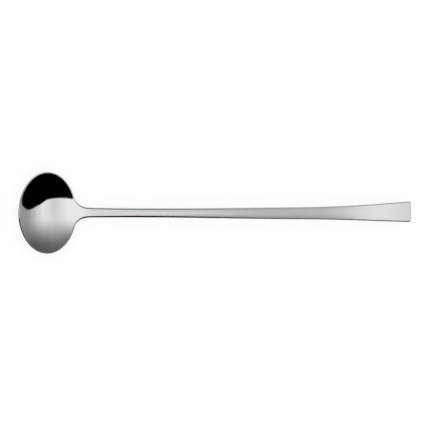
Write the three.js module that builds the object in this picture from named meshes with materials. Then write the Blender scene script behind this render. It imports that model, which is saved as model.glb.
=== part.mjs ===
// Dressing ladle in polished stainless steel, lying on a table as it is set down.
// The oval bowl and its short neck are pressed from sheet, and a forged handle is butt-welded to the neck.
// Millimetres, +Z up, +X along the handle. The origin is on the table, under the middle of the ladle.

import * as THREE from "three";

const { degToRad, smoothstep } = THREE.MathUtils;

// Bowl
const bowlWidth = 61.4; // across, inside the rim
const bowlLength = 43.1; // along, inside the rim
const bowlDepth = 7.9; // from the plane of the rim down to the inside
const bowlWall = 1.7; // the same in the neck
const rimWallAngle = degToRad(35); // between the wall at the neck and the plane of the rim
const rimTilt = degToRad(14); // between the plane of the rim and the table
const rimEdge = 0.25; // radius on the edges of the rim and the neck

// Neck, the tongue of the bowl's blank
const neckWidth = 7.3; // at the weld
const neckFillet = 10; // radius, along the ladle, between the rim and the sides of the neck
const neckStub = 0.5; // run from the fillets to the weld
const neckEase = degToRad(10); // how much flatter the neck is at the weld than at the rim

// Handle, with its places measured from the weld along the table
const handleLength = 249.4;
const neckBend = 8; // stretch where the neck's slope passes into the handle's
const handleRise = degToRad(5.2); // slope of the straight run as the ladle lies
const straightEnd = 93.3;
const crestAt = 153.3; // highest place of the arched part
const endDip = degToRad(-21); // slope at the end
const waistAt = 41.3; // narrowest and thickest place
const waistWidth = 6.8;
const waistThickness = 3.4;
const shoulderAt = 165.3; // where the handle starts to flare
const shoulderWidth = 9.05;
const endWidth = 16;
const endThickness = 2;
const endCorner = 1.5; // radius on the two corners of the end

// Edges and crown of the handle, and how fast its width changes
const neckBlend = 4; // stretch from the weld over which the edges get round
const neckEdge = 0.75; // height of the rounding there
const neckEdgeWidth = 1.3; // width of the rounding there, on top
const waistEdge = 1.2;
const waistEdgeWidth = 1.8;
const endEdge = 0.6;
const endEdgeWidth = 0.9;
const endEdgeLoss = 0.7; // how much the edges tighten for each millimetre that the end draws in
const waistCrown = 0.15; // height of the top's middle over its edges
const endCrown = 0.1;
const neckNarrowing = -0.02;
const shoulderFlare = 0.015;
const endFlare = 0.11;

// Finish
const steelColour = 0xd2d4d6;
const bowlRoughness = 0.08;
const handleRoughness = 0.1;

// Facets
const rimSteps = 72;
const filletSteps = 6;
const neckSteps = 2;
const weldSteps = 6;
const bowlRings = 12;
const edgeSteps = 3;
const crownSteps = 6;
const handleSteps = 56;
const cornerSteps = 4;
const slopeStep = 0.01; // stretch over which a slope is measured

// A smooth law through stations of [place, value, slope], by cubic pieces
function smoothLaw(...stations) {
  return (place) => {
    let piece = 1;
    while (piece < stations.length - 1 && place > stations[piece][0]) {
      piece += 1;
    }
    const [startPlace, start, startSlope] = stations[piece - 1];
    const [stopPlace, stop, stopSlope] = stations[piece];
    const span = stopPlace - startPlace;
    const t = (place - startPlace) / span;
    const bend = span * t * (1 - t) * (startSlope * (1 - t) - stopSlope * t);
    return start + (stop - start) * t * t * (3 - 2 * t) + bend;
  };
}

// One closed loop of points along curves that follow each other, each cut into its own number of steps
function loopAlong(...legs) {
  return legs.flatMap(([curve, steps]) => curve.getPoints(steps).slice(0, -1));
}

// Closed skin over rings of equal length, with one point closing each end
function skinOver(rings, firstPole, lastPole) {
  const around = rings[0].length;
  const points = [firstPole, ...rings.flat(), lastPole];
  const vertex = (ring, step) => 1 + ring * around + (step % around);
  const last = points.length - 1;
  const faces = [];
  for (let step = 0; step < around; step += 1) {
    faces.push(0, vertex(0, step), vertex(0, step + 1));
    for (let ring = 0; ring + 1 < rings.length; ring += 1) {
      const [near, nearNext] = [vertex(ring, step), vertex(ring, step + 1)];
      const [far, farNext] = [vertex(ring + 1, step), vertex(ring + 1, step + 1)];
      faces.push(near, far, farNext, near, farNext, nearNext);
    }
    faces.push(vertex(rings.length - 1, step), last, vertex(rings.length - 1, step + 1));
  }
  const skin = new THREE.BufferGeometry().setFromPoints(points);
  skin.setIndex(faces);
  skin.computeVertexNormals();
  return skin;
}

function polishedSteel(roughness) {
  return new THREE.MeshStandardMaterial({ color: steelColour, metalness: 1, roughness });
}

// The oval is a circle stretched across, and so are the fillets beside the neck
const rimRadius = bowlLength / 2;
const ovalStretch = bowlWidth / bowlLength;
const filletMiddle = neckWidth / 2 / ovalStretch + neckFillet;
const filletReach = Math.sqrt((rimRadius + neckFillet) ** 2 - filletMiddle ** 2);
const neckStart = (filletReach * rimRadius) / (rimRadius + neckFillet);
const weldReach = filletReach + neckStub * Math.cos(rimWallAngle);

// Inside of the bowl along its middle: a conic up to the rim, and past it a neck that flattens
const rimSlope = Math.tan(rimWallAngle);
const rimRun = rimRadius / rimSlope;
const bottomRadius = rimRadius ** 2 / bowlDepth - rimRun;
const conic = (bottomRadius ** 2 - rimRun ** 2) / rimRadius ** 2;
const neckBow = (Math.tan(rimWallAngle - neckEase) - rimSlope) / (weldReach - rimRadius);

function wallRise(radius) {
  const inside = Math.min(radius, rimRadius);
  const past = radius - inside;
  const rise = inside ** 2 / (bottomRadius + Math.sqrt(bottomRadius ** 2 - conic * inside ** 2));
  return rise + past * rimSlope + (past ** 2 * neckBow) / 2;
}

// Plan of the flat blank, drawn in by an inset: the rim, two fillets and the neck up to the weld
function blankOutline(inset) {
  const rim = rimRadius - inset;
  const stretch = (bowlWidth / 2 - inset) / rim;
  const side = (neckWidth / 2 - inset) / stretch;
  const fillet = neckFillet + inset;
  const middle = side + fillet;
  const reach = Math.sqrt((rim + fillet) ** 2 - middle ** 2);
  const turn = Math.atan2(middle, reach);
  const corners = [-side, side].map((across) => new THREE.Vector2(weldReach, across));
  const tangents = [-side, side].map((across) => new THREE.Vector2(reach, across));
  const loop = loopAlong(
    [new THREE.EllipseCurve(0, 0, rim, rim, turn, -turn, false), rimSteps],
    [new THREE.EllipseCurve(reach, -middle, fillet, fillet, Math.PI - turn, Math.PI / 2, true), filletSteps],
    [new THREE.LineCurve(tangents[0], corners[0]), neckSteps],
    [new THREE.LineCurve(corners[0], corners[1]), weldSteps],
    [new THREE.LineCurve(corners[1], tangents[1]), neckSteps],
    [new THREE.EllipseCurve(reach, middle, fillet, fillet, -Math.PI / 2, turn - Math.PI, true), filletSteps],
  );
  return loop.map(({ x, y }) => new THREE.Vector2(x, y * stretch));
}

// Height of the pressed blank over the plane of the rim: hollow in the bowl, flat across at the weld
function pressedHeight(along, across) {
  const roundness = (1 - smoothstep(along, neckStart, weldReach)) / ovalStretch;
  return wallRise(Math.hypot(along, across * roundness)) - bowlDepth;
}

// A point of the blank, at a depth under its upper face, after pressing
function pressed(along, across, depth) {
  const half = slopeStep / 2;
  const fallAlong = pressedHeight(along - half, across) - pressedHeight(along + half, across);
  const fallAcross = pressedHeight(along, across - half) - pressedHeight(along, across + half);
  const normal = new THREE.Vector3(fallAlong, fallAcross, slopeStep).normalize();
  return new THREE.Vector3(along, across, pressedHeight(along, across)).addScaledVector(normal, -depth);
}

// The bowl with its rim level: rings over the inside, round the edge and back under the outside
function makeBowl() {
  const flat = blankOutline(rimEdge);
  const inside = [];
  const outside = [];
  for (let ring = 1; ring <= bowlRings; ring += 1) {
    const spread = flat.map(({ x, y }) => [(x * ring) / bowlRings, (y * ring) / bowlRings]);
    inside.push(spread.map(([along, across]) => pressed(along, across, 0)));
    outside.unshift(spread.map(([along, across]) => pressed(along, across, bowlWall)));
  }
  const edgeAbove = [];
  const edgeBelow = [];
  for (let step = 1; step <= edgeSteps; step += 1) {
    const turn = ((Math.PI / 2) * step) / edgeSteps;
    const loop = blankOutline(rimEdge * (1 - Math.sin(turn)));
    const depth = rimEdge * (1 - Math.cos(turn));
    edgeAbove.push(loop.map(({ x, y }) => pressed(x, y, depth)));
    edgeBelow.unshift(loop.map(({ x, y }) => pressed(x, y, bowlWall - depth)));
  }
  const rings = [...inside, ...edgeAbove, ...edgeBelow, ...outside];
  const skin = skinOver(rings, pressed(0, 0, 0), pressed(0, 0, bowlWall));
  const bowl = new THREE.Mesh(skin, polishedSteel(bowlRoughness));
  bowl.name = "bowl";
  return bowl;
}

// Section of the handle across its length: crowned top, edges rounded wide on top, and flat underside
function handleSection(width, thickness, edge, edgeWidth, crown) {
  const at = (across, up) => new THREE.Vector2(across, up);
  const half = width / 2;
  const lean = Math.atan((2 * crown * edgeWidth) / (half * edge));
  const brow = half - edgeWidth * (1 - Math.sin(lean));
  const upper = -crown - edge * Math.cos(lean);
  const lower = edge - thickness;
  const topSide = half - edgeWidth;
  const side = half - edge;
  const top = new THREE.QuadraticBezierCurve(at(-brow, -crown), at(0, crown), at(brow, -crown));
  const right = new THREE.LineCurve(at(half, upper), at(half, lower));
  const under = new THREE.LineCurve(at(side, -thickness), at(-side, -thickness));
  const left = new THREE.LineCurve(at(-half, lower), at(-half, upper));
  return loopAlong(
    [top, crownSteps],
    [new THREE.EllipseCurve(topSide, upper, edgeWidth, edge, Math.PI / 2 - lean, 0, true), edgeSteps],
    [right, 1],
    [new THREE.EllipseCurve(side, lower, edge, edge, 0, -Math.PI / 2, true), edgeSteps],
    [under, 1],
    [new THREE.EllipseCurve(-side, lower, edge, edge, -Math.PI / 2, -Math.PI, true), edgeSteps],
    [left, 1],
    [new THREE.EllipseCurve(-topSide, upper, edgeWidth, edge, Math.PI, Math.PI / 2 + lean, true), edgeSteps],
  );
}

// How far a rounded end draws in, at a distance from the end
function roundOff(fromEnd, radius) {
  const into = Math.max(0, radius - fromEnd);
  return radius - Math.sqrt(radius ** 2 - into ** 2);
}

// The handle from the weld, with its top line in the XZ plane and its end set on the table
function makeHandle(tableLevel) {
  const neckRise = Math.tan(rimWallAngle - neckEase - rimTilt);
  const rise = Math.tan(handleRise);
  const bendTop = (neckBend * (neckRise + rise)) / 2;
  const straightTop = bendTop + (straightEnd - neckBend) * rise;
  const crestTop = straightTop + ((crestAt - straightEnd) * rise) / 2;
  const footTop = (endThickness - endEdge) * Math.cos(endDip) + endEdge * (1 + Math.sin(endDip));
  const taper = (endThickness - waistThickness) / (handleLength - waistAt);
  const topLine = smoothLaw(
    [0, 0, neckRise],
    [neckBend, bendTop, rise],
    [straightEnd, straightTop, rise],
    [crestAt, crestTop, 0],
    [handleLength, tableLevel + footTop, Math.tan(endDip)],
  );
  const width = smoothLaw(
    [0, neckWidth, neckNarrowing],
    [waistAt, waistWidth, 0],
    [shoulderAt, shoulderWidth, shoulderFlare],
    [handleLength, endWidth, endFlare],
  );
  const thickness = smoothLaw(
    [0, bowlWall, 0],
    [waistAt, waistThickness, taper],
    [handleLength, endThickness, taper],
  );
  const edge = smoothLaw(
    [0, rimEdge, 0],
    [neckBlend, neckEdge, 0],
    [waistAt, waistEdge, 0],
    [handleLength, endEdge, 0],
  );
  const edgeWidth = smoothLaw(
    [0, rimEdge, 0],
    [neckBlend, neckEdgeWidth, 0],
    [waistAt, waistEdgeWidth, 0],
    [handleLength, endEdgeWidth, 0],
  );
  const crown = smoothLaw([0, 0, 0], [waistAt, waistCrown, 0], [handleLength, endCrown, 0]);

  // A point of the section at a place, square to the top line
  function placed(place, across, up) {
    const climb = topLine(place + slopeStep / 2) - topLine(place - slopeStep / 2);
    const slope = Math.atan2(climb, slopeStep);
    return new THREE.Vector3(place - up * Math.sin(slope), across, topLine(place) + up * Math.cos(slope));
  }

  // The section at a place, drawn in where the end is rounded
  function ringAt(place) {
    const fromEnd = handleLength - place;
    const drawnIn = roundOff(fromEnd, endEdge);
    const drawnSide = roundOff(fromEnd, endCorner);
    const section = handleSection(
      width(place) - 2 * drawnSide,
      thickness(place) - 2 * drawnIn,
      edge(place) - endEdgeLoss * drawnIn,
      edgeWidth(place) - endEdgeLoss * drawnIn,
      crown(place),
    );
    return section.map(({ x, y }) => placed(place, x, y - drawnIn));
  }

  const bodyLength = handleLength - endCorner;
  const places = [];
  for (let step = 0; step < handleSteps; step += 1) {
    places.push((bodyLength * step) / handleSteps);
  }
  for (let step = 0; step <= cornerSteps; step += 1) {
    places.push(bodyLength + endCorner * Math.sin(((Math.PI / 2) * step) / cornerSteps));
  }
  const weldMiddle = placed(0, 0, -bowlWall / 2);
  const endMiddle = placed(handleLength, 0, -endThickness / 2);
  const skin = skinOver(places.map(ringAt), weldMiddle, endMiddle);
  const handle = new THREE.Mesh(skin, polishedSteel(handleRoughness));
  handle.name = "handle";
  return handle;
}

// The ladle lies on the outside of its bowl and on the end of its handle
const bowl = makeBowl();
bowl.rotation.y = rimTilt;
const weld = pressed(weldReach, 0, 0).applyEuler(bowl.rotation);
const tableLevel = new THREE.Box3().setFromObject(bowl, true).min.z;
const handle = makeHandle(tableLevel - weld.z);
handle.position.copy(weld);

const ladle = new THREE.Group();
ladle.add(bowl, handle);
const bounds = new THREE.Box3().setFromObject(ladle, true);
const middle = bounds.getCenter(new THREE.Vector3());
ladle.position.set(-middle.x, -middle.y, -bounds.min.z);

export default ladle;
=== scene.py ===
# %% [markdown]
# # A dressing ladle in polished steel
# This lesson dresses a CAD model of a dressing ladle for a studio picture. The real ladle is two pieces
# of stainless steel: a bowl pressed from sheet, and a handle forged from bar, welded together and polished
# until the seam is gone. The CAD model gives the place and the main sizes of both. The pieces made here lie
# in the same place, with far more faces, because a mirror shows every facet, and with a few edges and
# curves drawn finer.

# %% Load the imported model
import math

import bpy
from mathutils import Matrix, Vector


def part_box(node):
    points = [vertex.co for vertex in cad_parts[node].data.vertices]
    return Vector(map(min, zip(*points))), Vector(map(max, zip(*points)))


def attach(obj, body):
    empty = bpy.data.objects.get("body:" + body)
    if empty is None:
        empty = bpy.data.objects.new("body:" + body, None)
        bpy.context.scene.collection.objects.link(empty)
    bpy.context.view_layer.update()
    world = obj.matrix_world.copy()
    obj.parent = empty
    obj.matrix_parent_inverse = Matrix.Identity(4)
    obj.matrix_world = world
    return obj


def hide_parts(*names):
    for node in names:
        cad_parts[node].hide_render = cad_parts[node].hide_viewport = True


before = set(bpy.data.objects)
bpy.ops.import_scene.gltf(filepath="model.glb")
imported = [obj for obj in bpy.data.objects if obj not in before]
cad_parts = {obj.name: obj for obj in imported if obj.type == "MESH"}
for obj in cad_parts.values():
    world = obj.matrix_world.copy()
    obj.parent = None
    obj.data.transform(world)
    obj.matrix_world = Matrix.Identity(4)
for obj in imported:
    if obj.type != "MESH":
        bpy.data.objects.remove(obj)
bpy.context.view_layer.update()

MM = 0.001

scene = bpy.context.scene
scene.view_settings.view_transform = "Standard"

# %% [markdown]
# ## The camera
# The picture is taken from almost straight above, leaning a few degrees towards the far side of the
# table, through a long lens. A long lens from far off keeps both ends of a long object at one scale.
# The camera is turned by a matrix, because its lean and its small roll follow each other in that order.

# %% Camera
CAMERA_DISTANCE = 1700 * MM
CAMERA_LEAN = math.radians(4)
CAMERA_ROLL = math.radians(0.06)
PIXELS_PER_MM = 1.306
PICTURE_WIDTH = 430
AIM = Vector((-0.23 * MM, -1.78 * MM, 10 * MM))

camera = bpy.data.objects.new("camera", bpy.data.cameras.new("camera"))
camera.data.lens = PIXELS_PER_MM / MM * CAMERA_DISTANCE * camera.data.sensor_width / PICTURE_WIDTH
camera.matrix_world = (
    Matrix.Translation(AIM)
    @ Matrix.Rotation(-CAMERA_LEAN, 4, "X")
    @ Matrix.Rotation(-CAMERA_ROLL, 4, "Z")
    @ Matrix.Translation((0, 0, CAMERA_DISTANCE))
)
scene.collection.objects.link(camera)
scene.camera = camera
print("lens of", round(camera.data.lens), "mm")

# %% [markdown]
# ## Skins and node trees
# Both pieces start as flat or straight stock with all its edges rounded: rings of points, one after the
# other, closed by a point at each end. A Geometry Nodes tree then gives the stock its shape, as the press
# does. The helpers below make such a skin, and add nodes to a tree with their inputs already joined.

# %% Helpers for skins
def skin_over(name, rings, first_pole, last_pole):
    """A closed mesh over rings of equal length, with one point closing each end."""
    around = len(rings[0])
    points = [first_pole] + [point for ring in rings for point in ring] + [last_pole]
    last = len(points) - 1
    faces = []
    for step in range(around):
        here, there = 1 + step, 1 + (step + 1) % around
        faces.append((0, here, there))
        for ring in range(len(rings) - 1):
            near, far = ring * around, (ring + 1) * around
            faces.append((near + here, far + here, far + there, near + there))
        rear = (len(rings) - 1) * around
        faces.append((rear + here, last, rear + there))
    mesh = bpy.data.meshes.new(name)
    mesh.from_pydata(points, [], faces)
    piece = bpy.data.objects.new(name, mesh)
    scene.collection.objects.link(piece)
    return piece


def oval_arc(middle, across, up, start, stop, steps):
    """Points along a stretch of an oval, without its last one."""
    turns = [start + (stop - start) * step / steps for step in range(steps)]
    return [(middle[0] + across * math.cos(turn), middle[1] + up * math.sin(turn)) for turn in turns]


def arc(middle, radius, start, stop, steps):
    """Points along an arc, without its last one."""
    return oval_arc(middle, radius, radius, start, stop, steps)


def line(start, stop, steps):
    """Points along a straight line, without its last one."""
    return [tuple(Vector(start).lerp(Vector(stop), step / steps)) for step in range(steps)]


def smooth_step(share):
    """A share from 0 to 1 that sets out and arrives gently."""
    return share * share * (3 - 2 * share)


# %% Helpers for nodes
def add_node(tree, kind, feeds, **settings):
    """A new node, with its settings made and each input either joined to an output or given a value."""
    node = tree.nodes.new(kind)
    for name, value in settings.items():
        setattr(node, name, value)
    for socket, value in feeds.items():
        if isinstance(value, bpy.types.NodeSocket):
            tree.links.new(value, node.inputs[socket])
        else:
            node.inputs[socket].default_value = value
    return node


def maths(tree, operation, *values):
    """The result of a Math node."""
    return add_node(tree, "ShaderNodeMath", dict(enumerate(values)), operation=operation).outputs[0]


def share_of(tree, part, whole):
    """How much of the whole a part is, kept between 0 and 1."""
    feeds = {0: part, 1: whole}
    return add_node(tree, "ShaderNodeMath", feeds, operation="DIVIDE", use_clamp=True).outputs[0]


def vector_maths(tree, operation, *values):
    """The results of a Vector Math node, by name."""
    return add_node(tree, "ShaderNodeVectorMath", dict(enumerate(values)), operation=operation).outputs


def vector_of(tree, x, y, z):
    """Three numbers as one vector."""
    return add_node(tree, "ShaderNodeCombineXYZ", {"X": x, "Y": y, "Z": z}).outputs[0]


def parts_of(tree, vector):
    """The three numbers of a vector."""
    return add_node(tree, "ShaderNodeSeparateXYZ", {0: vector}).outputs


def ramp(tree, value, start, stop, low, high, kind="SMOOTHSTEP"):
    """A change from one level to another, as a value goes from start to stop."""
    feeds = {"Value": value, "From Min": start, "From Max": stop, "To Min": low, "To Max": high}
    return add_node(tree, "ShaderNodeMapRange", feeds, interpolation_type=kind).outputs[0]


# %% Helpers for shaping trees
SHARP_FROM = math.radians(50)


def new_tree(name, inputs, takes_in="NodeSocketGeometry", gives_out="NodeSocketGeometry"):
    """A Geometry Nodes tree with one main input, one output and a named number for each size."""
    tree = bpy.data.node_groups.new(name, "GeometryNodeTree")
    tree.interface.new_socket("Stock", in_out="INPUT", socket_type=takes_in)
    for label in inputs:
        tree.interface.new_socket(label, in_out="INPUT", socket_type="NodeSocketFloat")
    tree.interface.new_socket("Shape", in_out="OUTPUT", socket_type=gives_out)
    return tree, tree.nodes.new("NodeGroupInput").outputs


def remember_place(tree, stock, name):
    """The stock with the place of each point kept under a name, for its finish, and the place itself."""
    place = tree.nodes.new("GeometryNodeInputPosition").outputs[0]
    feeds = {"Geometry": stock, "Name": name, "Value": place}
    kept = add_node(tree, "GeometryNodeStoreNamedAttribute", feeds, data_type="FLOAT_VECTOR").outputs[0]
    return kept, place


def finish_tree(tree, stock, place, material):
    """Ends a tree: moves the stock's points, and makes them real mesh with its material."""
    moved = add_node(tree, "GeometryNodeSetPosition", {"Geometry": stock, "Position": place}).outputs[0]
    real = add_node(tree, "GeometryNodeRealizeInstances", {"Geometry": moved}).outputs[0]
    dressed = add_node(tree, "GeometryNodeSetMaterial", {"Geometry": real, "Material": material}).outputs[0]
    add_node(tree, "NodeGroupOutput", {"Shape": dressed})


def shape_by(piece, tree, sizes):
    """Runs a tree on a piece with these sizes, and keeps the result as the piece's own plain mesh."""
    modifier = piece.modifiers.new(tree.name, "NODES")
    modifier.node_group = tree
    for item in tree.interface.items_tree:
        if item.in_out == "INPUT" and item.name in sizes:
            modifier[item.identifier] = sizes[item.name]
    bpy.context.view_layer.update()
    graph = bpy.context.evaluated_depsgraph_get()
    shaped = bpy.data.meshes.new_from_object(piece.evaluated_get(graph))
    piece.modifiers.remove(modifier)
    piece.data = shaped
    shaped.name = piece.name
    shaped.shade_smooth()
    shaped.set_sharp_from_angle(angle=SHARP_FROM)
    print(piece.name, "has", len(shaped.polygons), "faces")


# %% [markdown]
# ## The steel
# Both pieces are polished stainless steel: bare metal, nearly white. The bowl and the ends of the handle
# are a mirror with almost no blur, and the middle of the handle, where it is held, is softer. Polishing
# leaves faint marks that run with the wheel, and use leaves a little haze, so one roughness for all would
# look too clean. The marks follow a place that each piece remembers from its flat stock, and not the place
# in the room, so that they run round the bowl and along the handle.

# %% Sizes of the finish
STEEL_COLOUR = (0.815, 0.815, 0.815, 1)
MIRROR_ROUGHNESS = 0.035
HAZE_ROUGHNESS = 0.075
HAZE_SCALE, HAZE_DETAIL = 70, 4
WORN_FROM, WORN_TO = 0.12, 0.42
MARK_WIDTH, MARK_LENGTH = 0.5 * MM, 40 * MM
MARK_DETAIL, MARK_CONTRAST = 3, 0.6
MARK_STRENGTH, MARK_DEPTH = 0.03, 0.02 * MM
MARKS_AROUND = 2
HANDLE_SOFTNESS = 0.42
SOFT_RISE = (0, 155 * MM)
SOFT_FALL = (176 * MM, 238 * MM)
print("the polish goes from", MIRROR_ROUGHNESS, "to", HAZE_ROUGHNESS)


# %% Polishing marks
def marks_round(tree, place):
    """Polishing marks in circles about the middle of the blank."""
    x, y, z = parts_of(tree, place)
    flat = vector_of(tree, x, y, 0)
    radius = vector_maths(tree, "LENGTH", flat)["Value"]
    along = parts_of(tree, vector_maths(tree, "NORMALIZE", flat)["Vector"])
    return vector_of(
        tree,
        maths(tree, "DIVIDE", radius, MARK_WIDTH),
        maths(tree, "MULTIPLY", along[0], MARKS_AROUND),
        maths(tree, "MULTIPLY_ADD", along[1], MARKS_AROUND, maths(tree, "DIVIDE", z, MARK_WIDTH)),
    )


def marks_lengthwise(tree, place):
    """Polishing marks along the bar."""
    x, y, z = parts_of(tree, place)
    return vector_of(
        tree,
        maths(tree, "DIVIDE", x, MARK_LENGTH),
        maths(tree, "DIVIDE", y, MARK_WIDTH),
        maths(tree, "DIVIDE", z, MARK_WIDTH),
    )


# %% Polished steel
def polished_steel(name, stock_place, marks_along, softness):
    """Polished steel. marks_along makes the pattern's coordinates from the place in the stock, and softness
    is the roughness that is added in the held middle of the bar."""
    material = bpy.data.materials.new(name)
    material.use_nodes = True
    tree = material.node_tree
    shader = tree.nodes["Principled BSDF"]
    shader.inputs["Base Color"].default_value = STEEL_COLOUR
    shader.inputs["Metallic"].default_value = 1
    place = add_node(tree, "ShaderNodeAttribute", {}, attribute_name=stock_place).outputs["Vector"]

    # The marks' coordinates already count in marks, so their noise has a scale of 1
    pattern = {"Vector": marks_along(tree, place), "Scale": 1}
    pattern |= {"Detail": MARK_DETAIL, "Roughness": MARK_CONTRAST}
    marks = add_node(tree, "ShaderNodeTexNoise", pattern).outputs[0]
    cloud = {"Vector": place, "Scale": HAZE_SCALE, "Detail": HAZE_DETAIL}
    haze = add_node(tree, "ShaderNodeTexNoise", cloud).outputs[0]
    worn = maths(tree, "MULTIPLY", haze, marks)
    rough = ramp(tree, worn, WORN_FROM, WORN_TO, MIRROR_ROUGHNESS, HAZE_ROUGHNESS, "LINEAR")

    from_weld = parts_of(tree, place)[0]
    held_from = ramp(tree, from_weld, *SOFT_RISE, 0, softness)
    held_to = ramp(tree, from_weld, *SOFT_FALL, 1, 0)
    tree.links.new(maths(tree, "MULTIPLY_ADD", held_from, held_to, rough), shader.inputs["Roughness"])
    scratches = {"Height": marks, "Strength": MARK_STRENGTH, "Distance": MARK_DEPTH}
    bump = add_node(tree, "ShaderNodeBump", scratches).outputs[0]
    tree.links.new(bump, shader.inputs["Normal"])
    return material


bowl_steel = polished_steel("bowl_steel", "sheet_place", marks_round, 0)
handle_steel = polished_steel("handle_steel", "bar_place", marks_lengthwise, HANDLE_SOFTNESS)
print("made", bowl_steel.name, "and", handle_steel.name)

# %% [markdown]
# ## The bowl's blank
# A press starts from a flat blank: here an oval sheet with a tongue on one long side, which becomes the
# neck. Its outline is the rim, a fillet on each side of the tongue, and the straight cut where the handle
# is welded on. Each fillet is a long curve, drawn towards the corner that it rounds, and it runs out on
# the handle, a little past the weld. A filled curve with a bevel could give such a sheet, but rings of
# points give the press an even mesh, and they let the rim's small edge grow along the fillets to the wide,
# soft edge of the neck.

# %% Sizes of the bowl
BOWL_WIDTH = 61.4 * MM
BOWL_LENGTH = 43.1 * MM
BOWL_DEPTH = 7.9 * MM
BOWL_WALL = 1.7 * MM
RIM_WALL_ANGLE = math.radians(35)
RIM_TILT = math.radians(14)
RIM_EDGE = 0.12 * MM
NECK_WIDTH = 7.5 * MM
NECK_START = 19.77 * MM
WELD_REACH = 29.35 * MM
NECK_EASE = math.radians(10)
NECK_EDGE, NECK_EDGE_WIDTH = 0.75 * MM, 1.8 * MM
FILLET_FROM = math.radians(22)
FILLET_END = 33 * MM

rim_radius = BOWL_LENGTH / 2
oval_stretch = BOWL_WIDTH / BOWL_LENGTH
print("the bowl is", round(oval_stretch, 2), "times as wide as it is long")

# %% Outline of the blank
RIM_STEPS, FILLET_STEPS, WELD_STEPS = 192, 24, 12


def fillet_to_weld(inset):
    """Points of the far fillet from the rim to the weld, on a curve drawn towards the corner it rounds."""
    rim, rim_side, side = (size - inset for size in (rim_radius, BOWL_WIDTH / 2, NECK_WIDTH / 2))
    start = Vector((rim * math.cos(FILLET_FROM), rim_side * math.sin(FILLET_FROM)))
    corner = Vector((start.x + (start.y - side) * math.tan(FILLET_FROM) * rim / rim_side, side))
    end = Vector((FILLET_END, side))

    # Share of the curve that lies before the weld
    lead = corner.x - start.x
    spare = end.x - corner.x - lead
    before = (math.sqrt(lead**2 + spare * (WELD_REACH - start.x)) - lead) / spare
    points = []
    for step in range(FILLET_STEPS + 1):
        t = before * step / FILLET_STEPS
        points.append(tuple(start.lerp(corner, t).lerp(corner.lerp(end, t), t)))
    return points


def blank_outline(inset):
    """Plan of the blank, drawn in by an inset: the rim, two fillets and the cut at the weld."""
    far = fillet_to_weld(inset)
    near = [(x, -y) for x, y in far]
    rim, rim_side = rim_radius - inset, BOWL_WIDTH / 2 - inset
    return (
        oval_arc((0, 0), rim, rim_side, FILLET_FROM, 2 * math.pi - FILLET_FROM, RIM_STEPS)
        + near[:-1]
        + line(near[-1], far[-1], WELD_STEPS)
        + far[:0:-1]
    )


print("the outline has", len(blank_outline(0)), "points")

# %% Rings of the blank
BOWL_RINGS = 48
EDGE_STEPS = 8

into_neck = [smooth_step(step / FILLET_STEPS) for step in range(FILLET_STEPS)]
neck_share = [0] * RIM_STEPS + into_neck + [1] * WELD_STEPS + [1 - share for share in into_neck]


def edge_ring(turn, neck_width):
    """One ring of a rounded edge, as (x, y, depth): the rim's small edge, which grows to the neck's."""
    drawn_in, sunk = 1 - math.sin(turn), 1 - math.cos(turn)
    at_rim = blank_outline(RIM_EDGE * drawn_in)
    at_neck = blank_outline(neck_width * drawn_in)
    ring = []
    for here, there, share in zip(at_rim, at_neck, neck_share):
        x, y = Vector(here).lerp(Vector(there), share)
        ring.append((x, y, sunk * (RIM_EDGE + (NECK_EDGE - RIM_EDGE) * share)))
    return ring


def face_rings(outline, height):
    """Rings that spread over a flat face, from near its middle to near its outline."""
    spreads = [ring / BOWL_RINGS for ring in range(1, BOWL_RINGS)]
    return [[(x * spread, y * spread, height) for x, y, _ in outline] for spread in spreads]


def blank_rings():
    """Rings over the upper face, round the edge and back over the lower face."""
    upper = face_rings(edge_ring(0, NECK_EDGE_WIDTH), 0)
    lower = face_rings(edge_ring(0, NECK_EDGE), -BOWL_WALL)
    for step in range(EDGE_STEPS + 1):
        turn = math.pi / 2 * step / EDGE_STEPS
        upper.append([(x, y, -depth) for x, y, depth in edge_ring(turn, NECK_EDGE_WIDTH)])
        lower.append([(x, y, depth - BOWL_WALL) for x, y, depth in edge_ring(turn, NECK_EDGE)])
    return upper + lower[::-1]


bowl = skin_over("pressed_bowl", blank_rings(), (0, 0, 0), (0, 0, -BOWL_WALL))
print("the blank has", len(bowl.data.vertices), "points")

# %% [markdown]
# ## Pressing the bowl
# The die is a conic, like the dish of a mirror, stretched across: its height follows from the distance to
# the middle. Along the tongue the die turns from hollow to flat, and past the rim its slope eases, so that
# the neck meets the flat handle. Sculpting can't hit such sizes, but a tree of sums can. Each point moves
# to the die's height over its place, and then along the die's normal by its depth in the sheet.

# %% Sizes of the press
rim_slope = math.tan(RIM_WALL_ANGLE)
neck_run = WELD_REACH - rim_radius
neck_bow = (math.tan(RIM_WALL_ANGLE - NECK_EASE) - rim_slope) / neck_run

BOWL_SIZES = {
    "Rim radius": rim_radius,
    "Stretch": oval_stretch,
    "Depth": BOWL_DEPTH,
    "Wall angle": RIM_WALL_ANGLE,
    "Neck start": NECK_START,
    "Weld reach": WELD_REACH,
    "Neck bow": neck_bow,
    "Rim tilt": RIM_TILT,
}
print("the weld lies", round(neck_run / MM, 2), "mm past the rim")


# %% Form of the die
def die_conic(tree, size, wall):
    """Radius at the die's bottom, its square and the number of the conic, from rim, wall and depth."""
    radius = size["Rim radius"]
    run = maths(tree, "DIVIDE", radius, wall)
    square = maths(tree, "MULTIPLY", radius, radius)
    bottom = maths(tree, "SUBTRACT", maths(tree, "DIVIDE", square, size["Depth"]), run)
    bottom_square = maths(tree, "MULTIPLY", bottom, bottom)
    spare = maths(tree, "SUBTRACT", bottom_square, maths(tree, "MULTIPLY", run, run))
    return bottom, bottom_square, maths(tree, "DIVIDE", spare, square)


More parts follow.
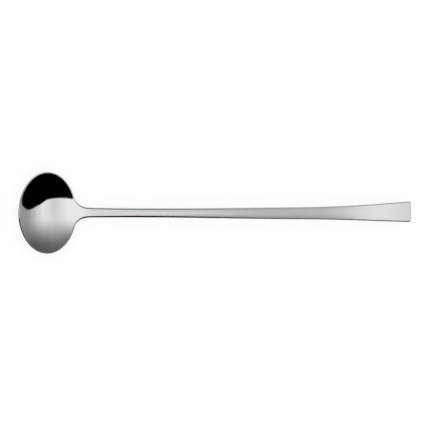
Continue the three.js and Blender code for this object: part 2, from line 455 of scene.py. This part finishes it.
def die_height(tree, size, wall, reach):
    """Height of the die at a reach from its middle, and its slope there."""
    bottom, bottom_square, conic = die_conic(tree, size, wall)
    inside = maths(tree, "MINIMUM", reach, size["Rim radius"])
    inside_square = maths(tree, "MULTIPLY", inside, inside)
    under_root = maths(tree, "SUBTRACT", bottom_square, maths(tree, "MULTIPLY", conic, inside_square))
    root = maths(tree, "SQRT", under_root)
    dish = maths(tree, "DIVIDE", inside_square, maths(tree, "ADD", bottom, root))
    past = maths(tree, "SUBTRACT", reach, inside)
    easing = maths(tree, "MULTIPLY", past, size["Neck bow"])
    past_rim = maths(tree, "MULTIPLY", past, maths(tree, "MULTIPLY_ADD", easing, 0.5, wall))
    height = maths(tree, "SUBTRACT", maths(tree, "ADD", dish, past_rim), size["Depth"])
    return height, maths(tree, "ADD", maths(tree, "DIVIDE", inside, root), easing)


def die_roundness(tree, size, along):
    """Roundness of the die across, from that of the oval to 0 at the weld, and how fast it falls."""
    neck_length = maths(tree, "SUBTRACT", size["Weld reach"], size["Neck start"])
    share = share_of(tree, maths(tree, "SUBTRACT", along, size["Neck start"]), neck_length)
    share_square = maths(tree, "MULTIPLY", share, share)
    flatness = maths(tree, "MULTIPLY", share_square, maths(tree, "MULTIPLY_ADD", share, -2, 3))
    roundness = maths(tree, "DIVIDE", maths(tree, "SUBTRACT", 1, flatness), size["Stretch"])
    hump = maths(tree, "MULTIPLY", maths(tree, "SUBTRACT", share, share_square), -6)
    return roundness, maths(tree, "DIVIDE", hump, maths(tree, "MULTIPLY", neck_length, size["Stretch"]))


# %% Press tree
NEARLY_ZERO = 1e-9


def press_tree():
    """The tree that presses the flat blank into the bowl and its neck."""
    tree, size = new_tree("press", BOWL_SIZES)
    remembered, place = remember_place(tree, size["Stock"], "sheet_place")
    along, across, depth = parts_of(tree, place)

    # Height of the die over the place, and its steepness, without a division by 0 in the middle
    wall = maths(tree, "TANGENT", size["Wall angle"])
    roundness, falling = die_roundness(tree, size, along)
    drawn_across = maths(tree, "MULTIPLY", across, roundness)
    reach = vector_maths(tree, "LENGTH", vector_of(tree, along, drawn_across, 0))["Value"]
    rise, slope = die_height(tree, size, wall, reach)
    steep = maths(tree, "DIVIDE", slope, maths(tree, "MAXIMUM", reach, NEARLY_ZERO))

    # Normal of the die
    twist = maths(tree, "MULTIPLY", maths(tree, "MULTIPLY", drawn_across, falling), across)
    slope_along = maths(tree, "MULTIPLY", steep, maths(tree, "ADD", along, twist))
    slope_across = maths(tree, "MULTIPLY", steep, maths(tree, "MULTIPLY", drawn_across, roundness))
    back = maths(tree, "MULTIPLY", slope_along, -1)
    aside = maths(tree, "MULTIPLY", slope_across, -1)
    normal = vector_maths(tree, "NORMALIZE", vector_of(tree, back, aside, 1))["Vector"]

    # The place on the die, sunk by the depth in the sheet and tilted with the rim
    scaling = {"Vector": normal, "Scale": depth}
    sunk = add_node(tree, "ShaderNodeVectorMath", scaling, operation="SCALE").outputs[0]
    pressed = vector_maths(tree, "ADD", vector_of(tree, along, across, rise), sunk)["Vector"]
    turning = {"Vector": pressed, "Angle": size["Rim tilt"]}
    tilted = add_node(tree, "ShaderNodeVectorRotate", turning, rotation_type="Y_AXIS").outputs[0]
    finish_tree(tree, remembered, tilted, bowl_steel)
    return tree


shape_by(bowl, press_tree(), BOWL_SIZES)

# %% [markdown]
# The pressed bowl is tilted but still lies about the middle of its rim. The CAD model says where its tip is
# and that it touches the table, so those two give the move. The weld goes along with it.

# %% Place of the bowl
bowl_low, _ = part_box("bowl")
tip = min(vertex.co.x for vertex in bowl.data.vertices)
underside = min(vertex.co.z for vertex in bowl.data.vertices)
move = Vector((bowl_low.x - tip, 0, bowl_low.z - underside))
bowl.data.transform(Matrix.Translation(move))

weld_height = neck_run * rim_slope + neck_run**2 * neck_bow / 2
weld = Matrix.Rotation(RIM_TILT, 3, "Y") @ Vector((WELD_REACH, 0, weld_height)) + move
print("the weld is at", [round(part / MM, 2) for part in weld], "mm")

# %% [markdown]
# ## The handle's bar
# The handle is forged straight and flat first: narrow and thick at its waist, wide and thin at its end,
# with a slightly crowned top. A bevelled curve has one section all along, so it can't give such a bar. Here
# each size follows a smooth law along the bar, through a few places where the size and its slope are known.
# A section is drawn at each place, and the skin runs over the sections.

# %% Laws of the bar
HANDLE_LENGTH = 249.4 * MM
WAIST_AT, WAIST_WIDTH, WAIST_THICKNESS = 41.3 * MM, 7.1 * MM, 3.4 * MM
SHOULDER_AT, SHOULDER_WIDTH = 165.3 * MM, 9.2 * MM
END_WIDTH, END_THICKNESS, END_CORNER = 16 * MM, 2 * MM, 1.5 * MM
WAIST_EDGE, END_EDGE = 1.2 * MM, 0.6 * MM
WAIST_EDGE_WIDTH, END_EDGE_WIDTH = 1.8 * MM, 0.9 * MM
WAIST_CROWN, SHOULDER_CROWN, END_CROWN = 0.15 * MM, 0.32 * MM, 0.2 * MM
NECK_NARROWING, SHOULDER_FLARE, END_FLARE = -0.02, 0.015, 0.11


def smooth_law(*stations):
    """A smooth law through stations of (place, value, slope), by cubic pieces."""

    def law(place):
        piece = 1
        while piece < len(stations) - 1 and place > stations[piece][0]:
            piece += 1
        start_place, start, start_slope = stations[piece - 1]
        stop_place, stop, stop_slope = stations[piece]
        span = stop_place - start_place
        t = (place - start_place) / span
        bend = span * t * (1 - t) * (start_slope * (1 - t) - stop_slope * t)
        return start + (stop - start) * smooth_step(t) + bend

    return law


taper = (END_THICKNESS - WAIST_THICKNESS) / (HANDLE_LENGTH - WAIST_AT)
before_weld, at_weld = fillet_to_weld(0)[-2:]
weld_narrowing = 2 * (at_weld[1] - before_weld[1]) / (at_weld[0] - before_weld[0])
bar_width = smooth_law(
    (0, 2 * at_weld[1], weld_narrowing),
    (FILLET_END - WELD_REACH, NECK_WIDTH, NECK_NARROWING),
    (WAIST_AT, WAIST_WIDTH, 0),
    (SHOULDER_AT, SHOULDER_WIDTH, SHOULDER_FLARE),
    (HANDLE_LENGTH, END_WIDTH, END_FLARE),
)
bar_thickness = smooth_law(
    (0, BOWL_WALL, 0), (WAIST_AT, WAIST_THICKNESS, taper), (HANDLE_LENGTH, END_THICKNESS, taper)
)
bar_edge = smooth_law((0, NECK_EDGE, 0), (WAIST_AT, WAIST_EDGE, 0), (HANDLE_LENGTH, END_EDGE, 0))
bar_edge_width = smooth_law(
    (0, NECK_EDGE_WIDTH, 0), (WAIST_AT, WAIST_EDGE_WIDTH, 0), (HANDLE_LENGTH, END_EDGE_WIDTH, 0)
)
bar_crown = smooth_law(
    (0, 0, 0), (WAIST_AT, WAIST_CROWN, 0), (SHOULDER_AT, SHOULDER_CROWN, 0), (HANDLE_LENGTH, END_CROWN, 0)
)
print("half way along, the bar is", round(bar_width(HANDLE_LENGTH / 2) / MM, 2), "mm wide")

# %% Section of the bar
CROWN_STEPS, UNDER_STEPS = 20, 6


def bar_section(width, thickness, edge, edge_width, crown):
    """Section of the bar: crowned top, edges rounded wide on top, and flat underside."""
    half = width / 2
    lean = math.atan(2 * crown * edge_width / (half * edge))
    brow = half - edge_width * (1 - math.sin(lean))
    upper = -crown - edge * math.cos(lean)
    lower = edge - thickness
    top_side = half - edge_width
    side = half - edge
    top = []
    for step in range(CROWN_STEPS):
        t = step / CROWN_STEPS
        top.append((brow * (2 * t - 1), crown * (4 * t * (1 - t) - 1)))
    quarter = math.pi / 2
    return (
        top
        + oval_arc((top_side, upper), edge_width, edge, quarter - lean, 0, EDGE_STEPS)
        + line((half, upper), (half, lower), 1)
        + arc((side, lower), edge, 0, -quarter, EDGE_STEPS)
        + line((side, -thickness), (-side, -thickness), UNDER_STEPS)
        + arc((-side, lower), edge, -quarter, -2 * quarter, EDGE_STEPS)
        + line((-half, lower), (-half, upper), 1)
        + oval_arc((-top_side, upper), edge_width, edge, 2 * quarter, quarter + lean, EDGE_STEPS)
    )


weld_section = bar_section(bar_width(0), bar_thickness(0), bar_edge(0), bar_edge_width(0), bar_crown(0))
print("a section has", len(weld_section), "points")

# %% Skin of the bar
BAR_STEPS, CORNER_STEPS = 300, 12
EDGE_LOSS = 0.7


def round_off(from_end, radius):
    """How far a rounded end draws in, at a distance from the end."""
    into = max(0, radius - from_end)
    return radius - math.sqrt(radius**2 - into**2)


def bar_ring(place):
    """The section at a place, drawn in where the end is rounded."""
    from_end = max(0, HANDLE_LENGTH - place)
    drawn_in = round_off(from_end, END_EDGE)
    section = bar_section(
        bar_width(place) - 2 * round_off(from_end, END_CORNER),
        bar_thickness(place) - 2 * drawn_in,
        bar_edge(place) - EDGE_LOSS * drawn_in,
        bar_edge_width(place) - EDGE_LOSS * drawn_in,
        bar_crown(place),
    )
    return [(place, across, up - drawn_in) for across, up in section]


body_length = HANDLE_LENGTH - END_CORNER
places = [body_length * step / BAR_STEPS for step in range(BAR_STEPS)]
for step in range(CORNER_STEPS + 1):
    places.append(body_length + END_CORNER * math.sin(math.pi / 2 * step / CORNER_STEPS))
handle = skin_over(
    "forged_handle",
    [bar_ring(place) for place in places],
    (0, 0, -BOWL_WALL / 2),
    (HANDLE_LENGTH, 0, -END_THICKNESS / 2),
)
print("the bar has", len(places), "sections")

# %% [markdown]
# ## Bending the handle
# The straight bar is then bent: out of the neck into a straight rise, over a crest, and down to the table
# at its end. A Curve modifier would stretch the bar by the curve's length, so a tree does the bend instead:
# a small group gives the height that one cubic piece gains, the top line is the sum of four such pieces,
# and every section is set square to that line.

# %% Group for one cubic piece
def gain_group():
    """The height gained at a place by a cubic piece between two places, with its slopes at both ends."""
    labels = ["From", "To", "Gain", "Start slope", "End slope"]
    tree, size = new_tree("cubic_gain", labels, "NodeSocketFloat", "NodeSocketFloat")
    span = maths(tree, "SUBTRACT", size["To"], size["From"])
    t = share_of(tree, maths(tree, "SUBTRACT", size["Stock"], size["From"]), span)
    left = maths(tree, "SUBTRACT", 1, t)
    square = maths(tree, "MULTIPLY", t, t)
    even = maths(tree, "MULTIPLY", square, maths(tree, "MULTIPLY_ADD", t, -2, 3))
    start_pull = maths(tree, "MULTIPLY", size["Start slope"], left)
    end_pull = maths(tree, "MULTIPLY", size["End slope"], t)
    pull = maths(tree, "MULTIPLY", span, maths(tree, "SUBTRACT", start_pull, end_pull))
    bend = maths(tree, "MULTIPLY", pull, maths(tree, "MULTIPLY", t, left))
    height = maths(tree, "MULTIPLY_ADD", size["Gain"], even, bend)
    add_node(tree, "NodeGroupOutput", {"Shape": height})
    return tree


cubic_gain = gain_group()
print("the group", cubic_gain.name, "has", len(cubic_gain.nodes), "nodes")

# %% Sizes of the bend
NECK_BEND = 8 * MM
STRAIGHT_END = 93.3 * MM
CREST_AT = 153.3 * MM
HANDLE_RISE = math.radians(5.2)
END_DIP = math.radians(-21)

foot_top = (END_THICKNESS - END_EDGE) * math.cos(END_DIP) + END_EDGE * (1 + math.sin(END_DIP))
HANDLE_SIZES = {
    "Neck bend": NECK_BEND,
    "Straight end": STRAIGHT_END,
    "Crest": CREST_AT,
    "Length": HANDLE_LENGTH,
    "Neck slope": math.tan(RIM_WALL_ANGLE - NECK_EASE - RIM_TILT),
    "Rise slope": math.tan(HANDLE_RISE),
    "End slope": math.tan(END_DIP),
    "End height": bowl_low.z - weld.z + foot_top,
}
print("the top of the end is", round(foot_top / MM, 2), "mm over the table")


# %% Group for the top line
def top_line_group():
    """Height of the handle's top line at a place along it."""
    tree, size = new_tree("top_line", HANDLE_SIZES, "NodeSocketFloat", "NodeSocketFloat")
    neck, rise, dip = size["Neck slope"], size["Rise slope"], size["End slope"]
    half_rise = maths(tree, "MULTIPLY", rise, 0.5)
    bend_slope = maths(tree, "MULTIPLY_ADD", neck, 0.5, half_rise)
    straight = maths(tree, "SUBTRACT", size["Straight end"], size["Neck bend"])
    arch = maths(tree, "SUBTRACT", size["Crest"], size["Straight end"])
    bend_gain = maths(tree, "MULTIPLY", size["Neck bend"], bend_slope)
    straight_gain = maths(tree, "MULTIPLY", straight, rise)
    crest_gain = maths(tree, "MULTIPLY", arch, half_rise)
    crest_top = maths(tree, "ADD", maths(tree, "ADD", bend_gain, straight_gain), crest_gain)
    end_gain = maths(tree, "SUBTRACT", size["End height"], crest_top)
    pieces = [
        (0.0, size["Neck bend"], bend_gain, neck, rise),
        (size["Neck bend"], size["Straight end"], straight_gain, rise, rise),
        (size["Straight end"], size["Crest"], crest_gain, rise, 0.0),
        (size["Crest"], size["Length"], end_gain, 0.0, dip),
    ]
    height = 0.0
    for piece in pieces:
        feeds = dict(enumerate([size["Stock"], *piece]))
        gained = add_node(tree, "GeometryNodeGroup", feeds, node_tree=cubic_gain).outputs[0]
        height = maths(tree, "ADD", gained, height)
    add_node(tree, "NodeGroupOutput", {"Shape": height})
    return tree


top_line = top_line_group()
print("the group", top_line.name, "has", len(top_line.nodes), "nodes")

# %% Bend tree
SLOPE_STEP = 0.1 * MM


def bend_tree():
    """The tree that bends the straight bar along its top line."""
    tree, size = new_tree("bend", HANDLE_SIZES)
    remembered, place = remember_place(tree, size["Stock"], "bar_place")
    along, across, up = parts_of(tree, place)

    def top_at(where):
        """Height of the top line at a place."""
        feeds = {label: size[label] for label in HANDLE_SIZES} | {"Stock": where}
        return add_node(tree, "GeometryNodeGroup", feeds, node_tree=top_line).outputs[0]

    # Slope of the top line, from its heights a small step ahead and behind
    last = maths(tree, "SUBTRACT", size["Length"], SLOPE_STEP)
    held = maths(tree, "MINIMUM", maths(tree, "MAXIMUM", along, SLOPE_STEP), last)
    ahead = top_at(maths(tree, "ADD", held, SLOPE_STEP))
    behind = top_at(maths(tree, "SUBTRACT", held, SLOPE_STEP))
    slope = maths(tree, "ARCTAN2", maths(tree, "SUBTRACT", ahead, behind), 2 * SLOPE_STEP)

    # The section's point, set square to the line
    back = maths(tree, "MULTIPLY", up, maths(tree, "SINE", slope))
    lift = maths(tree, "MULTIPLY", up, maths(tree, "COSINE", slope))
    bent_along = maths(tree, "SUBTRACT", along, back)
    bent_up = maths(tree, "ADD", top_at(along), lift)
    finish_tree(tree, remembered, vector_of(tree, bent_along, across, bent_up), handle_steel)
    return tree


shape_by(handle, bend_tree(), HANDLE_SIZES)
handle.data.transform(Matrix.Translation(weld))
print("the handle ends at", round(max(vertex.co.x for vertex in handle.data.vertices) / MM, 2), "mm")

# %% [markdown]
# ## The table
# The ladle lies on a plain white table. To the camera, the table has a share of light of its own, a little
# more than white needs, so that only the near shadow of the ladle shows. The steel mirrors the table as a
# painted grey glow, which stands in for the shade of a table close to the ladle, darker than the tent
# around it: painted lighter behind the ladle than in front of it, and a painted shadow, nearly black, in
# front of the bowl. A second table that only the steel sees would do as well, but one material that asks
# for the kind of ray is simpler.

# %% Table top
TABLE_SIZE = 12

half_table = TABLE_SIZE / 2
signs = [(-1, -1), (1, -1), (1, 1), (-1, 1)]
corners = [(half_table * across, half_table * back, 0) for across, back in signs]
table_mesh = bpy.data.meshes.new("table")
table_mesh.from_pydata(corners, [], [(0, 1, 2, 3)])
table = bpy.data.objects.new("table", table_mesh)
scene.collection.objects.link(table)
print("the table is", TABLE_SIZE, "m wide")

# %% White of the table
TABLE_COLOUR, TABLE_GLOW = 0.22, 0.8
# Painted shade of the table as the steel sees it: darker in front, lighter behind, and a painted shadow,
# nearly black, in front of the bowl
FRONT_IN_STEEL, BACK_IN_STEEL, TABLE_TURN = 0.36, 0.6, 3 * MM
PAINTED_SHADOW_IN_STEEL = 0.04
PAINTED_SHADOW_FRONT, PAINTED_SHADOW_END, PAINTED_SHADOW_BLUR = -5 * MM, -45 * MM, 4 * MM


def grey(level):
    """A grey as a colour."""
    return (level, level, level, 1)


table_white = bpy.data.materials.new("table_white")
table_white.use_nodes = True
white = table_white.node_tree
table_shader = white.nodes["Principled BSDF"]
table_shader.inputs["Base Color"].default_value = grey(TABLE_COLOUR)
table_shader.inputs["Roughness"].default_value = 1
table_shader.inputs["Specular IOR Level"].default_value = 0
table_shader.inputs["Emission Color"].default_value = grey(1)
ray = white.nodes.new("ShaderNodeLightPath").outputs
own_light = maths(white, "MULTIPLY", ray["Is Camera Ray"], TABLE_GLOW)
white.links.new(own_light, table_shader.inputs["Emission Strength"])

# Painted shadow in front of the bowl and painted shade from front to back, as a glow that only rays off the
# steel see
spot_x, spot_y, _ = parts_of(white, white.nodes.new("ShaderNodeTexCoord").outputs["Object"])
off_front = ramp(white, spot_y, PAINTED_SHADOW_FRONT - PAINTED_SHADOW_BLUR, PAINTED_SHADOW_FRONT + PAINTED_SHADOW_BLUR, 0, 1)
off_end = ramp(white, spot_x, PAINTED_SHADOW_END - PAINTED_SHADOW_BLUR, PAINTED_SHADOW_END + PAINTED_SHADOW_BLUR, 0, 1)
off_painted_shadow = maths(white, "MAXIMUM", off_front, off_end)
painted_table_shade = ramp(white, spot_y, -TABLE_TURN, TABLE_TURN, FRONT_IN_STEEL, BACK_IN_STEEL)
painted_table_level = ramp(white, off_painted_shadow, 0, 1, PAINTED_SHADOW_IN_STEEL, painted_table_shade)
painted_table_glow = add_node(white, "ShaderNodeEmission", {"Strength": painted_table_level}).outputs[0]
mixing = {0: ray["Is Glossy Ray"], 1: table_shader.outputs[0], 2: painted_table_glow}
shown = add_node(white, "ShaderNodeMixShader", mixing).outputs[0]
white.links.new(shown, white.nodes["Material Output"].inputs["Surface"])
table_mesh.materials.append(table_white)
print("the table's white has", len(white.nodes), "nodes")

# %% [markdown]
# ## The studio
# Polished steel is only as good as what it mirrors, and small steel things are photographed in a light
# tent. A tent of lamps and cloth could be built, but this one is drawn in the world by direction, so each
# of its edges is one number. Only rays off the steel see it: the camera sees plain white, and the table is
# lit evenly. Its brightness goes by the sideways part of the direction. Towards the back it fades, faster
# in the corners, and low at the back it is light again.

# %% Sides of the tent
TENT_SIDES = [
    (-1, 0.5),
    (-0.8, 0.97),
    (-0.62, 1),
    (-0.31, 0.86),
    (-0.05, 0.79),
    (0.16, 0.86),
    (0.38, 0.885),
    (0.52, 0.91),
    (0.65, 0.86),
    (0.82, 0.67),
    (0.93, 0.48),
    (0.98, 0.36),
]

world = bpy.data.worlds.new("light_tent")
world.use_nodes = True
scene.world = world
# Light sampling can't tell which rays come off the steel, so rays alone find the tent
world.cycles.sampling_method = "NONE"
tent = world.node_tree
x, y, z = parts_of(tent, tent.nodes.new("ShaderNodeTexCoord").outputs["Generated"])

# A direction's part goes from -1 to 1, and a colour ramp from 0 to 1
sides = add_node(tent, "ShaderNodeValToRGB", {"Fac": maths(tent, "MULTIPLY_ADD", x, 0.5, 0.5)})
stops = sides.color_ramp.elements
stops.remove(stops[1])
stops[0].color = grey(TENT_SIDES[0][1])
for place, level in TENT_SIDES[1:]:
    stops.new((place + 1) / 2).color = grey(level)
sides.color_ramp.interpolation = "CARDINAL"
print("the tent has", len(stops), "levels from side to side")

# %% Back of the tent
BACK_FADE_FROM, BACK_FADE_TO, BACK_LEVEL = 0.02, 0.78, 0.12
LEFT_CORNER, RIGHT_CORNER = 1.7, 0.5
LOW_BACK_FROM, LOW_BACK_TO, LOW_BACK_LEVEL = 0.76, 0.9, 0.85

aside = maths(tent, "MULTIPLY", x, maths(tent, "ABSOLUTE", x))
to_left = maths(tent, "MULTIPLY", maths(tent, "MINIMUM", aside, 0), -LEFT_CORNER)
to_right = maths(tent, "MULTIPLY", maths(tent, "MAXIMUM", aside, 0), RIGHT_CORNER)
faster = maths(tent, "ADD", maths(tent, "ADD", to_left, to_right), 1)
towards_back = maths(tent, "MULTIPLY", y, faster)
fade = ramp(tent, towards_back, BACK_FADE_FROM, BACK_FADE_TO, 1, BACK_LEVEL)
low_back = ramp(tent, y, LOW_BACK_FROM, LOW_BACK_TO, 0, LOW_BACK_LEVEL)
back_light = maths(tent, "ADD", fade, low_back)
print("the back fades to", BACK_LEVEL, "and is", LOW_BACK_LEVEL, "lighter low down")

# %% [markdown]
# A black screen closes the front of the tent, and there is a dim place overhead where the camera hangs. In
# the bowl, the screen's upper edge becomes the curved edge of the black shape, and the fade at the back
# becomes the shading below it. Towards the end of the handle the screen is a little taller.

# %% Camera's shade and the black screen
CAMERA_SIDE, CAMERA_FRONT, CAMERA_SPREAD, CAMERA_SHADE = 0.06, -0.22, 0.34, 0.9
SCREEN_EDGE, SCREEN_END_EDGE = 0.44, 0.348
SCREEN_END_FROM, SCREEN_END_TO = 0.3, 0.75
SCREEN_SIDE, SCREEN_SIDE_SLOPE = 0.185, 0.62
SCREEN_CORNER = 0.36
SCREEN_BLUR = 0.01

camera_place = vector_of(tent, CAMERA_SIDE, CAMERA_FRONT, 1)
from_camera = vector_maths(tent, "DISTANCE", vector_of(tent, x, y, 1), camera_place)["Value"]
camera_shade = ramp(tent, from_camera, 0, CAMERA_SPREAD, CAMERA_SHADE, 1)

edge_height = ramp(tent, x, SCREEN_END_FROM, SCREEN_END_TO, SCREEN_EDGE, SCREEN_END_EDGE)
over_edge = maths(tent, "MULTIPLY_ADD", z, edge_height, y)
past_side = maths(tent, "ADD", maths(tent, "MULTIPLY_ADD", z, -SCREEN_SIDE_SLOPE, y), SCREEN_SIDE)
clear = maths(tent, "SMOOTH_MAX", over_edge, past_side, SCREEN_CORNER)
screen = ramp(tent, clear, -SCREEN_BLUR, SCREEN_BLUR, 0, 1)
edge_angles = [math.degrees(math.atan2(1, edge)) for edge in (SCREEN_EDGE, SCREEN_END_EDGE)]
print("the screen's edge stands at", [round(angle) for angle in edge_angles], "degrees")

# %% What the steel sees
dome = sides.outputs[0]
for shade in (back_light, camera_shade, screen):
    dome = maths(tent, "MULTIPLY", dome, shade)
tent_ray = tent.nodes.new("ShaderNodeLightPath").outputs
choice = {"Factor": tent_ray["Is Glossy Ray"], "A": 1.0, "B": dome}
strength = add_node(tent, "ShaderNodeMix", choice, data_type="FLOAT").outputs[0]
background = tent.nodes["Background"]
background.inputs["Color"].default_value = grey(1)
tent.links.new(strength, background.inputs["Strength"])
print("the tent has", len(tent.nodes), "nodes")

# %% [markdown]
# ## Bodies
# Each piece is carried by the root body, and the CAD node that it replaces is hidden.

# %% Pieces and bodies
for piece, node, finish in [(bowl, "bowl", "bowl_steel"), (handle, "handle", "handle_steel")]:
    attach(piece, "root")
    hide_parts(node)
